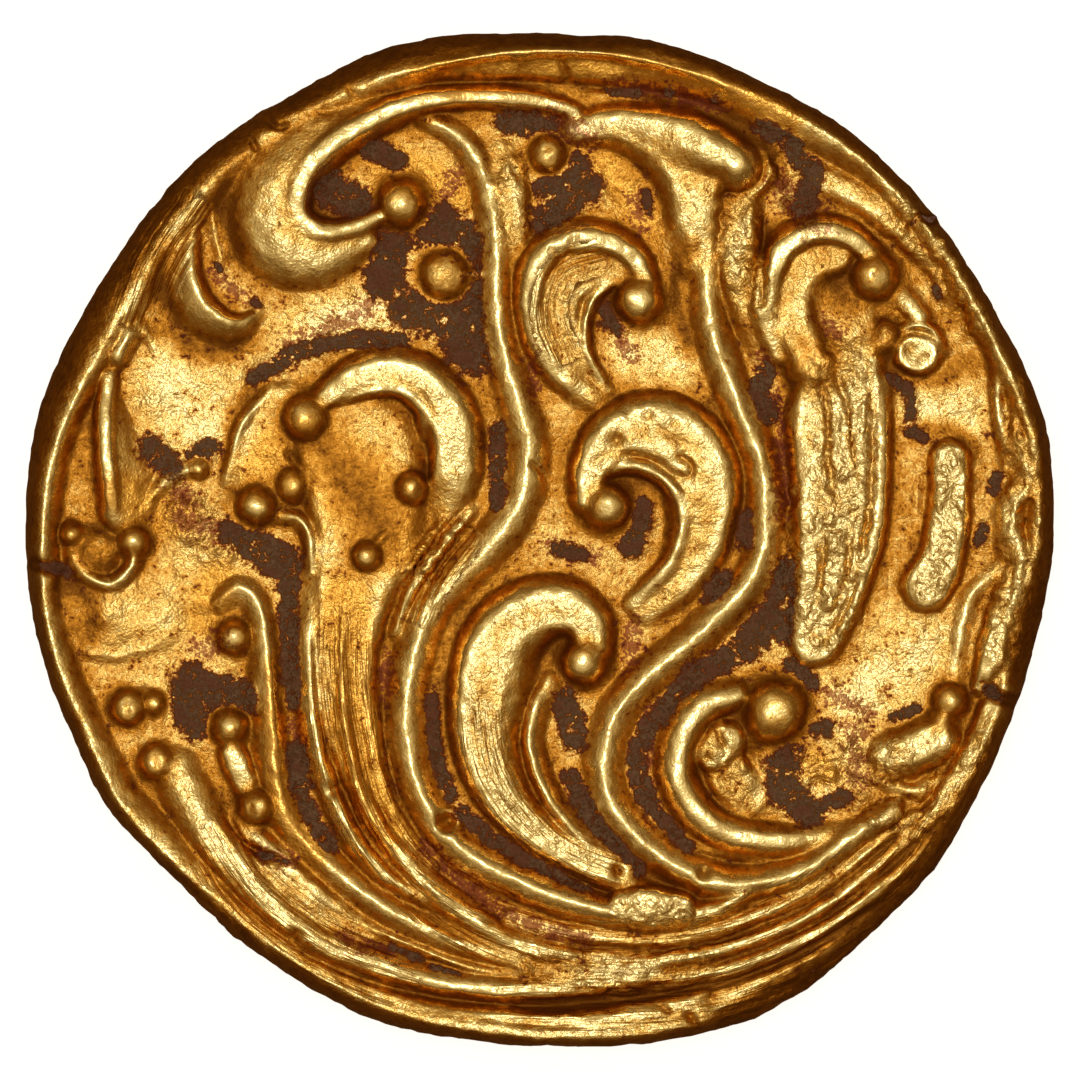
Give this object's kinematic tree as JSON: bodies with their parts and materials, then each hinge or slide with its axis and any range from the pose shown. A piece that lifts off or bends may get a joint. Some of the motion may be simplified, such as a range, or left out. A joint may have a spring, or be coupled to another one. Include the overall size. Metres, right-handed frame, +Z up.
{
  "type": "coin",
  "caption": "Ancient struck gold coin: a thick, slightly uneven round flan with whirling tendrils, curls and pellets in high relief on its upper face. It lies flat.",
  "frame": {"origin": "middle of the coin's outline, in the plane of the flat ring that it rests on", "axes": "+Z up out of the ornamented face, +Y towards the top of that face, +X towards its right"},
  "size_m": [0.0181, 0.0178, 0.0022],
  "materials": {
    "gold": null
  },
  "bodies": {
    "root": {"coin": "gold"}
  },
  "joints": []
}
